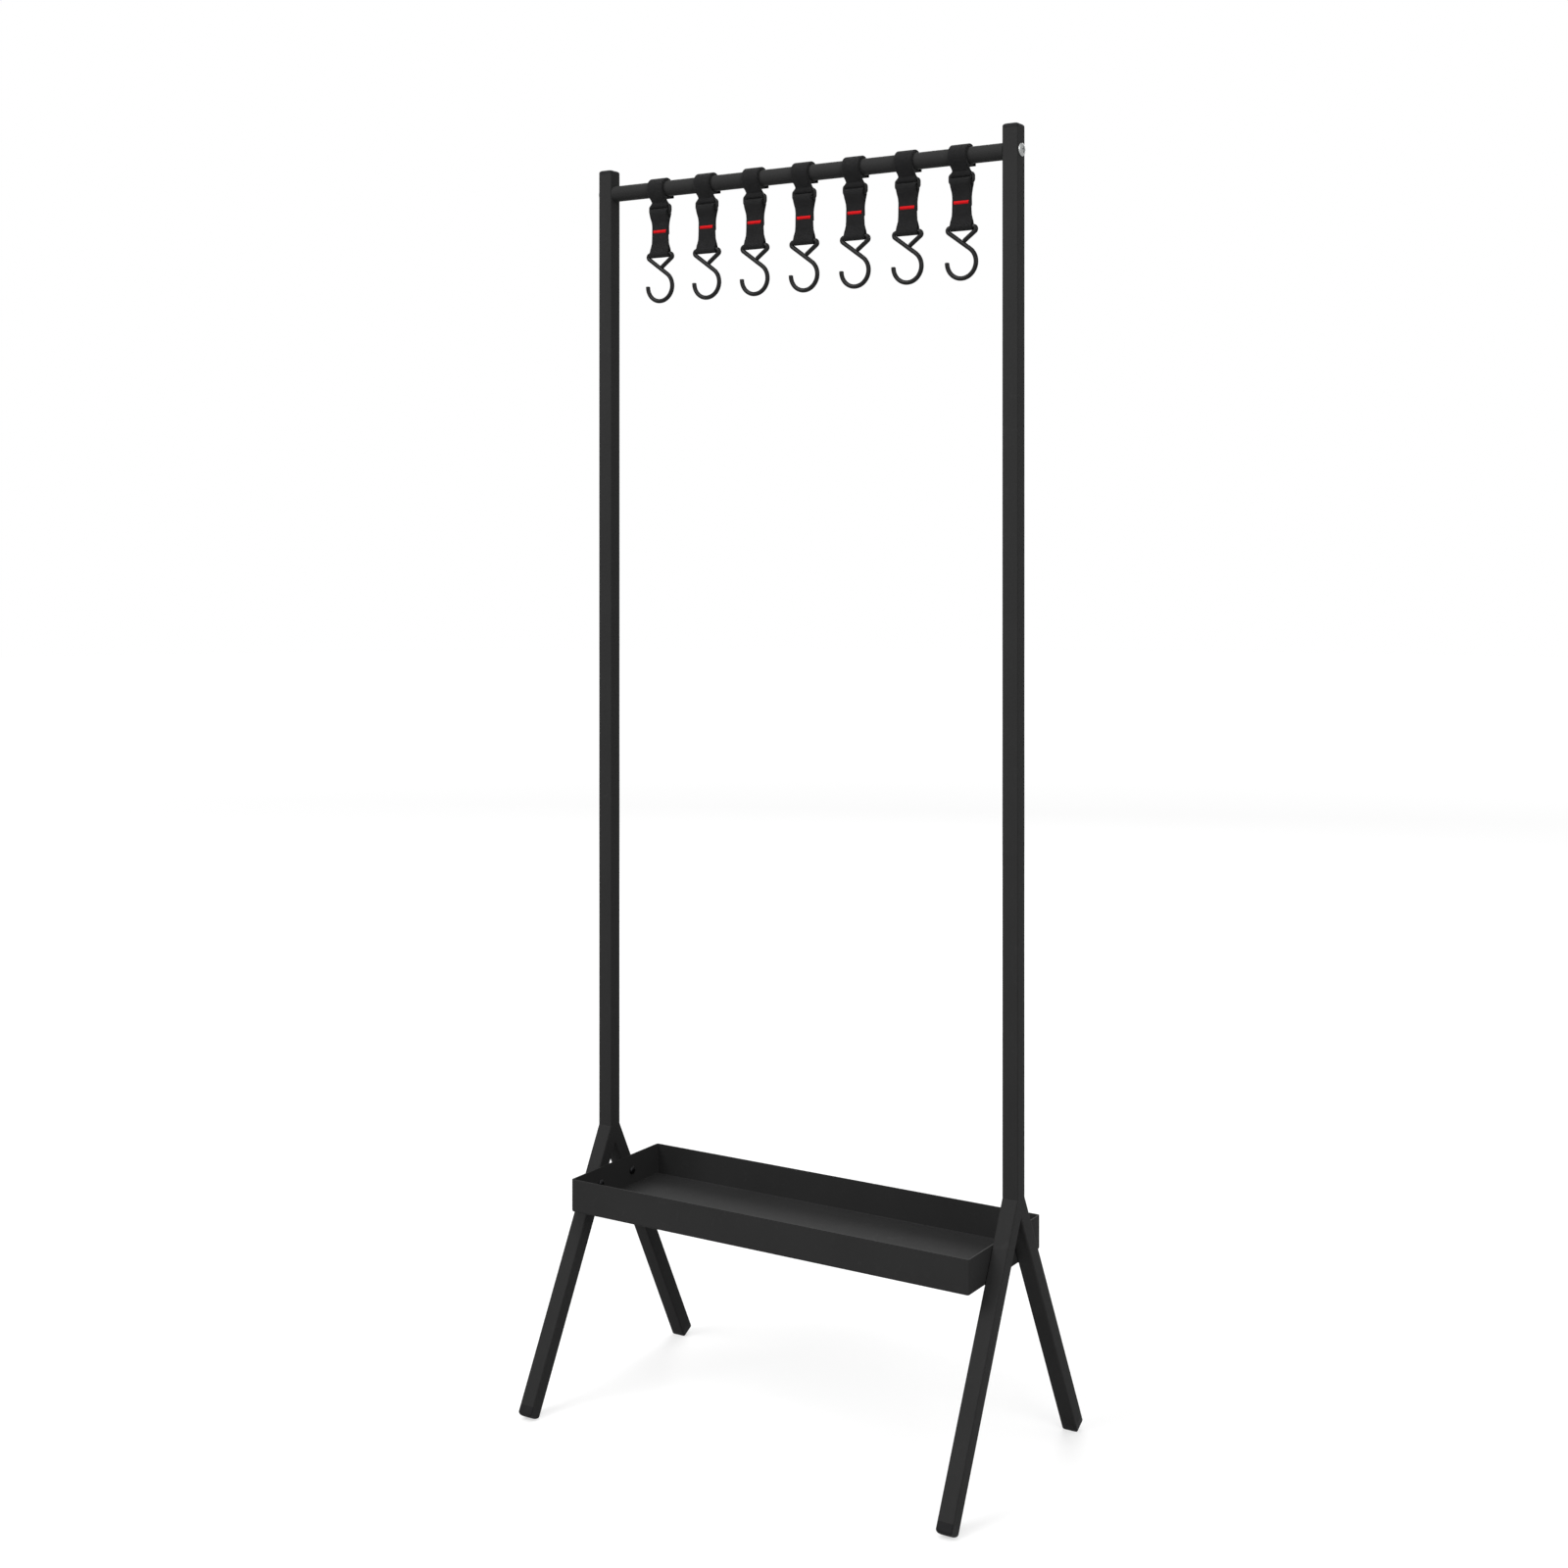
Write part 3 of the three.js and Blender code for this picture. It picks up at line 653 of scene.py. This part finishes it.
def model_screw(name, head, height, shank, reach):
    """A pan head with a cross recess, drawn upwards from the origin, and its shank below it."""
    bpy.ops.object.select_all(action="DESELECT")
    bpy.ops.mesh.primitive_circle_add(
        vertices=48,
        radius=shank / 2 * 0.7 * MM,
        fill_type="NGON",
        location=(0, 0, -reach * MM),
    )
    screw = named(bpy.context.object, name)
    settle(screw)
    enter(screw)
    rim = height * RIM_SHARE
    profile = [(shank / 2, -reach + shank / 4), (shank / 2, 0)]
    profile += [(head / 2 - 0.15, 0), (head / 2, 0.15), (head / 2, rim)]
    for step in range(1, 9):
        turn = math.radians(90 * step / 9)
        profile.append((head / 2 * math.cos(turn), rim + (height - rim) * math.sin(turn)))
    profile.append((head * 0.03, height))
    radius, level = shank / 2 * 0.7, -reach
    for wider, higher in profile:
        rise = (0, 0, (higher - level) * MM)
        bpy.ops.mesh.extrude_region_move(TRANSFORM_OT_translate={"value": rise})
        bpy.ops.transform.resize(value=(wider / radius, wider / radius, 1))
        radius, level = wider, higher
    leave()
    close_up(screw)
    for turn in (0, 90):
        cut_recess(screw, head, height, turn)
    close_up(screw)
    smooth(screw, 40)
    return screw


def cut_recess(screw, head, height, turn):
    """One arm pair of the cross, narrower at its floor."""
    bpy.ops.object.select_all(action="DESELECT")
    bpy.ops.mesh.primitive_cube_add(
        size=1,
        location=(0, 0, height * MM),
        rotation=(0, 0, math.radians(turn)),
    )
    tool = bpy.context.object
    tool.scale = (head * RECESS_SPAN_SHARE * MM, head * RECESS_WIDTH_SHARE * MM, height * MM)
    settle(tool)
    enter(tool, "DESELECT")
    select_vertices(tool, lambda place: place.z < height * MM)
    bpy.ops.transform.resize(value=(RECESS_FLOOR_SHARE, RECESS_FLOOR_SHARE, 1))
    leave()
    finish_with(screw, "BOOLEAN", operation="DIFFERENCE", object=tool, solver="EXACT")
    mesh = tool.data
    bpy.data.objects.remove(tool)
    bpy.data.meshes.remove(mesh)


# Finishes


class Reading:
    """A number that varies over a surface. Arithmetic on it adds Math nodes."""

    def __init__(self, finish, socket):
        self.finish = finish
        self.socket = socket

    def calculate(self, operation, first, second=0.0):
        return self.finish.node("ShaderNodeMath", {0: first, 1: second}, operation=operation)

    def __add__(self, other):
        return self.calculate("ADD", self, other)

    def __radd__(self, other):
        return self.calculate("ADD", other, self)

    def __sub__(self, other):
        return self.calculate("SUBTRACT", self, other)

    def __rsub__(self, other):
        return self.calculate("SUBTRACT", other, self)

    def __mul__(self, other):
        return self.calculate("MULTIPLY", self, other)

    def __rmul__(self, other):
        return self.calculate("MULTIPLY", other, self)

    def __truediv__(self, other):
        return self.calculate("DIVIDE", self, other)

    def fraction(self):
        return self.calculate("FRACT", self)

    def size(self):
        return self.calculate("ABSOLUTE", self)

    def sine(self):
        return self.calculate("SINE", self)

    def largest(self, other):
        return self.calculate("MAXIMUM", self, other)


class Graph:
    """The nodes of a material or of the world."""

    def __init__(self, owner):
        owner.use_nodes = True
        self.nodes = owner.node_tree.nodes
        self.links = owner.node_tree.links

    def node(self, kind, inputs=None, output=0, stops=None, **settings):
        """Adds a node of a type with its settings, then sets or links its sockets."""
        made = self.nodes.new(kind)
        for name, value in settings.items():
            setattr(made, name, value)
        if stops:
            while len(made.color_ramp.elements) < len(stops):
                made.color_ramp.elements.new(1)
            for element, (place, level) in zip(made.color_ramp.elements, stops):
                element.position = place
                element.color = (level, level, level, 1)
        for socket, value in (inputs or {}).items():
            if isinstance(value, Reading):
                self.links.new(value.socket, made.inputs[socket])
            else:
                made.inputs[socket].default_value = value
        return Reading(self, made.outputs[output])

    def seen_directly(self):
        """1 for rays that show the background: from the camera, off gloss or through glass."""
        rays = ("Is Camera Ray", "Is Glossy Ray", "Is Transmission Ray")
        camera, gloss, glass = (self.node("ShaderNodeLightPath", output=ray) for ray in rays)
        return camera.largest(gloss).largest(glass)


class Finish(Graph):
    """A material of the stand, with the nodes that feed its shader."""

    def __init__(self, name, **constants):
        self.material = bpy.data.materials.new(name)
        super().__init__(self.material)
        self.shader = self.nodes["Principled BSDF"]
        for socket, value in constants.items():
            self.shader.inputs[socket.replace("_", " ")].default_value = value

    def place(self, scale=(1, 1, 1)):
        """A point of the surface in the stand's frame, stretched for grain that runs one way."""
        point = self.node("ShaderNodeTexCoord", output="Object")
        if scale == (1, 1, 1):
            return point
        return self.node("ShaderNodeMapping", {"Vector": point, "Scale": scale})

    def noise(self, size, detail=2.0, scale=(1, 1, 1), distortion=0.0):
        """Cloudy noise from 0 to 1 with patches of a size in millimetres."""
        inputs = {"Vector": self.place(scale), "Scale": 1000 / size}
        inputs |= {"Detail": detail, "Distortion": distortion}
        return self.node("ShaderNodeTexNoise", inputs)

    def ramp(self, amount, *stops):
        return self.node("ShaderNodeValToRGB", {"Fac": amount}, stops=stops)

    def shade(self, amount, dark, light):
        """A colour between two colours. The Mix node keeps its colour sockets at 6, 7 and 2."""
        inputs = {0: amount, 6: (*dark, 1), 7: (*light, 1)}
        return self.node("ShaderNodeMix", inputs, output=2, data_type="RGBA")

    def feed(self, socket, reading):
        self.links.new(reading.socket, self.shader.inputs[socket])

    def raise_surface(self, height, depth, strength=1.0):
        """Feeds a bump of a depth in millimetres."""
        inputs = {"Height": height, "Distance": depth * MM, "Strength": strength}
        self.feed("Normal", self.node("ShaderNodeBump", inputs))


def srgb(*levels):
    """A colour written in 0 to 255, as the shader's linear numbers."""
    shares = [level / 255 for level in levels]
    return tuple(
        share / 12.92 if share < 0.04045 else ((share + 0.055) / 1.055) ** 2.4 for share in shares
    )


def charcoal_powder_coat():
    """Dull and even, with a fine orange peel and faint rubbed patches."""
    finish = Finish("charcoal_powder_coat", Specular_IOR_Level=0.02)
    peel = finish.noise(1.1, 1.5)
    grit = finish.noise(0.28, 2)
    broad = finish.noise(70, 3)
    rub = finish.ramp(finish.noise(9, 7, distortion=1.2), (0.6, 0), (0.78, 1))
    tone = broad * 0.4 + grit * 0.4 + rub * 0.2
    finish.feed("Base Color", finish.shade(tone, srgb(39, 39, 39), srgb(55, 55, 55)))
    finish.feed("Roughness", 0.44 + 0.14 * broad + 0.1 * grit - 0.06 * rub)
    finish.raise_surface(peel * 0.7 + grit * 0.3, 0.06)
    return finish.material


def black_moulded_plastic():
    """The finely grained skin of the plugs and foot caps."""
    finish = Finish("black_moulded_plastic", Specular_IOR_Level=0.1)
    grain = finish.noise(0.35, 3)
    broad = finish.noise(6, 3)
    tone = broad * 0.6 + grain * 0.4
    finish.feed("Base Color", finish.shade(tone, srgb(16, 16, 17), srgb(34, 34, 35)))
    finish.feed("Roughness", 0.52 + 0.2 * grain)
    finish.raise_surface(grain, 0.05)
    return finish.material


def zinc_plate(name, dark, light, roughness):
    """Zinc on a turned screw head, with a fine spangle."""
    finish = Finish(name, Metallic=1.0)
    cells = {"Vector": finish.place(), "Scale": 1400.0}
    spangle = finish.node("ShaderNodeTexVoronoi", cells, output="Color")
    turning = finish.noise(0.25, 4, scale=(0.2, 1, 1))
    tone = finish.node("ShaderNodeRGBToBW", {"Color": spangle})
    finish.feed("Base Color", finish.shade(tone * 0.5 + turning * 0.5, dark, light))
    finish.feed("Roughness", roughness + 0.2 * turning)
    finish.raise_surface(turning, 0.01)
    return finish.material


def woven_webbing():
    """Ribs of slanted yarn that run along the band, on the piece's own map in centimetres. The
    colour has painted shade in the grooves.
    """
    sheen = {"Sheen_Weight": 0.06, "Sheen_Roughness": 0.45}
    finish = Finish("woven_webbing", Specular_IOR_Level=0.12, **sheen)
    weave = finish.node("ShaderNodeUVMap", output="UV")
    along = finish.node("ShaderNodeSeparateXYZ", {"Vector": weave}, output="X") * 10
    across = finish.node("ShaderNodeSeparateXYZ", {"Vector": weave}, output="Y") * 10
    ridge = ((across / RIB_WIDTH).fraction() - 0.5).size() * 2
    yarn = ((along / YARN_PITCH + ridge * YARN_SLANT) * (2 * math.pi)).sine() * 0.5 + 0.5
    groove = finish.ramp(ridge, (0.72, 0), (0.98, 1))
    height = yarn * (1 - groove * 0.85)
    fuzz = finish.noise(0.22, 3)
    wear = finish.noise(7, 4)
    # The colour follows the weave's height: painted shade in the grooves between ribs and on the low
    # yarn, a painted highlight on the yarn's crowns, with random fuzz and wear over it.
    tone = height * 0.55 + fuzz * 0.25 + wear * 0.2
    finish.feed("Base Color", finish.shade(tone, srgb(8, 8, 8), srgb(36, 36, 37)))
    finish.feed("Roughness", 0.95 - 0.3 * height * wear)
    finish.raise_surface(height * 0.85 + fuzz * 0.15, 0.22)
    return finish.material


def red_sewing_thread():
    """Twisted thread, lighter along each strand: a painted highlight on the twist's ridges."""
    finish = Finish("red_sewing_thread", Specular_IOR_Level=0.1)
    down = finish.node("ShaderNodeSeparateXYZ", {"Vector": finish.place()}, output="Z")
    across = finish.node("ShaderNodeSeparateXYZ", {"Vector": finish.place()}, output="X")
    twist_ridge_and_highlight = ((down * 1400 + across * 900) * (2 * math.pi)).sine() * 0.5 + 0.5
    fibre = finish.noise(0.15, 3)
    # The colour is lighter on the twist's ridges, which is a painted highlight, and it also varies
    # at random with the fibre.
    tone = twist_ridge_and_highlight * 0.5 + fibre * 0.5
    finish.feed("Base Color", finish.shade(tone, srgb(160, 4, 12), srgb(224, 22, 28)))
    finish.feed("Roughness", 0.5 + 0.25 * fibre)
    finish.raise_surface(twist_ridge_and_highlight * 0.6 + fibre * 0.4, 0.05)
    return finish.material


def black_coated_wire():
    """Dipped wire with a soft gloss, duller where it is rubbed."""
    finish = Finish("black_coated_wire", Specular_IOR_Level=0.14)
    peel = finish.noise(0.8, 2)
    rub = finish.ramp(finish.noise(3.5, 6, distortion=0.8), (0.62, 0), (0.8, 1))
    broad = finish.noise(11, 2)
    tone = broad * 0.6 + rub * 0.4
    finish.feed("Base Color", finish.shade(tone, srgb(8, 8, 8), srgb(26, 26, 26)))
    finish.feed("Roughness", 0.3 + 0.16 * broad + 0.14 * rub)
    finish.raise_surface(peel, 0.04)
    return finish.material


# The dressed stand

coat = charcoal_powder_coat()
plastic = black_moulded_plastic()
zinc = zinc_plate("bright_zinc_plate", (0.2, 0.21, 0.21), (0.44, 0.45, 0.44), 0.26)
black_zinc = zinc_plate("black_zinc_plate", srgb(26, 26, 27), srgb(52, 52, 54), 0.34)
webbing = woven_webbing()
thread = red_sewing_thread()
wire_coat = black_coated_wire()


def put_on(piece, material, slot, body, *nodes):
    """Gives a piece its finish, its body and the nodes that it stands for."""
    piece.data.materials.clear()
    piece.data.materials.append(material)
    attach(piece, body)
    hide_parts(*nodes)


def dress_frame():
    for side in SIDES:
        post = dressed(f"{side}_post", f"{side}_post_coated")
        put_on(post, coat, "powder_coat", "root", f"{side}_post")
        insert = dressed(f"{side}_bar_insert", f"{side}_bar_insert_plated")
        put_on(insert, zinc, "zinc", "root", f"{side}_bar_insert")
        for end in ENDS:
            leg = dressed(f"{side}_{end}_leg", f"{side}_{end}_leg_coated")
            put_on(leg, coat, "powder_coat", "root", f"{side}_{end}_leg")
    bar = dressed("hanging_bar", "hanging_bar_coated", angle=40)
    put_on(bar, coat, "powder_coat", "root", "hanging_bar")
    tray = dressed("tray", "tray_coated", edge=TRAY_EDGE)
    put_on(tray, coat, "powder_coat", "root", "tray")


def set_copy(pattern, name, matrix):
    """A copy of a pattern piece with its own mesh, in its place."""
    piece = bpy.data.objects.new(name, pattern.data.copy())
    named(piece, name)
    piece.data.transform(matrix)
    bpy.context.collection.objects.link(piece)
    return piece


def drop_pattern(pattern):
    mesh = pattern.data
    bpy.data.objects.remove(pattern)
    bpy.data.meshes.remove(mesh)


def head_place(node, head_end, turn):
    """The matrix that lays a screw drawn along Z over its node, with its seat at head_end in X."""
    low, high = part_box(node)
    middle = (low + high) / 2
    return Matrix.Translation((head_end, middle.y, middle.z)) @ Matrix.Rotation(turn, 4, "Y")


def fit_tube_ends():
    plug = model_tube_end("plug_pattern", *PLUG)
    cap = model_tube_end("cap_pattern", *FOOT_CAP)
    for side in SIDES:
        low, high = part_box(f"{side}_post")
        x = (low.x + high.x) / 2
        top = Matrix.Translation((x, 0, STAND_HEIGHT * MM)) @ Matrix.Rotation(math.pi, 4, "X")
        piece = set_copy(plug, f"{side}_post_plug_moulded", top)
        put_on(piece, plastic, "plastic", "root", f"{side}_post_plug")
        for end, sign in zip(ENDS, (1, -1)):
            foot = Matrix.Translation((x, -sign * CAP_PLACE[0] * MM, CAP_PLACE[1] * MM))
            lean = Matrix.Rotation(-sign * math.radians(LEG_TILT), 4, "X")
            piece = set_copy(cap, f"{side}_{end}_foot_cap_moulded", foot @ lean)
            cut_sole(piece)
            put_on(piece, plastic, "plastic", "root", f"{side}_{end}_foot_cap")
    drop_pattern(plug)
    drop_pattern(cap)


def fit_screws():
    bolt = model_screw("bolt_pattern", *BAR_BOLT)
    screw = model_screw("screw_pattern", *TRAY_SCREW)
    for side, sign in zip(SIDES, (-1, 1)):
        turn = sign * math.pi / 2
        matrix = head_place(f"{side}_bar_bolt", sign * BOLT_SEAT * MM, turn)
        piece = set_copy(bolt, f"{side}_bar_bolt_plated", matrix)
        put_on(piece, zinc, "zinc", "root", f"{side}_bar_bolt")
        for end in ENDS:
            node = f"{side}_{end}_tray_screw"
            matrix = head_place(node, sign * TRAY_SCREW_SEAT * MM, -turn)
            piece = set_copy(screw, f"{node}_plated", matrix)
            put_on(piece, black_zinc, "black_zinc", "root", node)
    drop_pattern(bolt)
    drop_pattern(screw)


def hang_hooks():
    patterns = (
        (model_loop(), "loop", "strap_loop", "webbing", webbing, "loop_slide"),
        (model_ring(), "ring", "link_ring", "black_wire", wire_coat, "ring_swing"),
        (model_strap(), "strap", "lower_strap", "webbing", webbing, "strap_swing"),
        (model_tack(), "strap", "bar_tack", "red_thread", thread, "strap_swing"),
        (model_hook(), "hook", "s_hook", "black_wire", wire_coat, "hook_swing"),
    )
    bar = sum(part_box("hanging_bar"), Vector()) / 2
    pivots = {joint["name"]: joint.get("pos_m") for joint in frame["record"]["behaviour"]["joints"]}
    for number in HOOKS:
        loop_low, loop_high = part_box(f"strap_loop_{number}")
        for pattern, body, node, slot, material, joint in patterns:
            middle = (loop_low.x + loop_high.x) / 2
            pivot = pivots[f"{joint}_{number}"] or (middle, bar.y, bar.z)
            piece = set_copy(pattern, f"{node}_{number}_made", Matrix.Translation(pivot))
            put_on(piece, material, slot, f"{body}_{number}", f"{node}_{number}")
    for pattern in patterns:
        drop_pattern(pattern[0])


dress_frame()
fit_tube_ends()
fit_screws()
hang_hooks()


# Studio: floor, backdrop light, lamps and camera


def light_world(level):
    world = bpy.data.worlds.new("studio")
    bpy.context.scene.world = world
    graph = Graph(world)
    background = graph.nodes["Background"]
    background.inputs["Color"].default_value = (1, 1, 1, 1)
    strength = graph.seen_directly() * (1 - level) + level
    graph.links.new(strength.socket, background.inputs["Strength"])


def lay_floor(near_glow, far_glow):
    """A pale floor. What it lacks of the white background is added for the rays that show it."""
    bpy.ops.object.select_all(action="DESELECT")
    bpy.ops.mesh.primitive_circle_add(vertices=64, radius=FLOOR_RADIUS, fill_type="NGON")
    floor = named(bpy.context.object, "studio_floor")
    finish = Finish("studio_floor", Roughness=0.9, Specular_IOR_Level=0.0, Emission_Strength=1.0)
    finish.shader.inputs["Base Color"].default_value = (FLOOR_SHADE, FLOOR_SHADE, FLOOR_SHADE, 1)
    point = {0: finish.place()}
    away = finish.node("ShaderNodeVectorMath", point, output="Value", operation="LENGTH")
    spread = {"Value": away, "From Min": GLOW_RANGE[0], "From Max": GLOW_RANGE[1]}
    glow = finish.node("ShaderNodeMapRange", spread | {"To Min": near_glow, "To Max": far_glow})
    seen = finish.seen_directly() * glow
    finish.feed("Emission Color", finish.shade(seen, (0, 0, 0), (1, 1, 1)))
    floor.data.materials.append(finish.material)


def hang_lamp(name, place, size, power):
    light = bpy.data.lights.new(name, "AREA")
    light.shape = "DISK"
    light.size = size
    light.energy = power
    lamp = bpy.data.objects.new(name, light)
    lamp.location = place
    aim = Vector(LAMP_AIM) - Vector(place)
    lamp.rotation_euler = aim.to_track_quat("-Z", "Y").to_euler()
    bpy.context.collection.objects.link(lamp)


def set_camera():
    view = bpy.data.cameras.new("camera")
    view.sensor_width = CAMERA_SENSOR
    view.lens = CAMERA_LENS
    view.shift_y = CAMERA_SHIFT
    camera = bpy.data.objects.new("camera", view)
    camera.location = CAMERA_PLACE
    camera.rotation_euler = (math.pi / 2, 0, math.radians(CAMERA_TURN))
    bpy.context.collection.objects.link(camera)
    bpy.context.scene.camera = camera


light_world(WORLD_LEVEL)
lay_floor(NEAR_GLOW, FAR_GLOW)
for name, (place, size, power) in LAMPS.items():
    hang_lamp(name, place, size, power)
set_camera()
bpy.context.scene.view_settings.view_transform = "Standard"
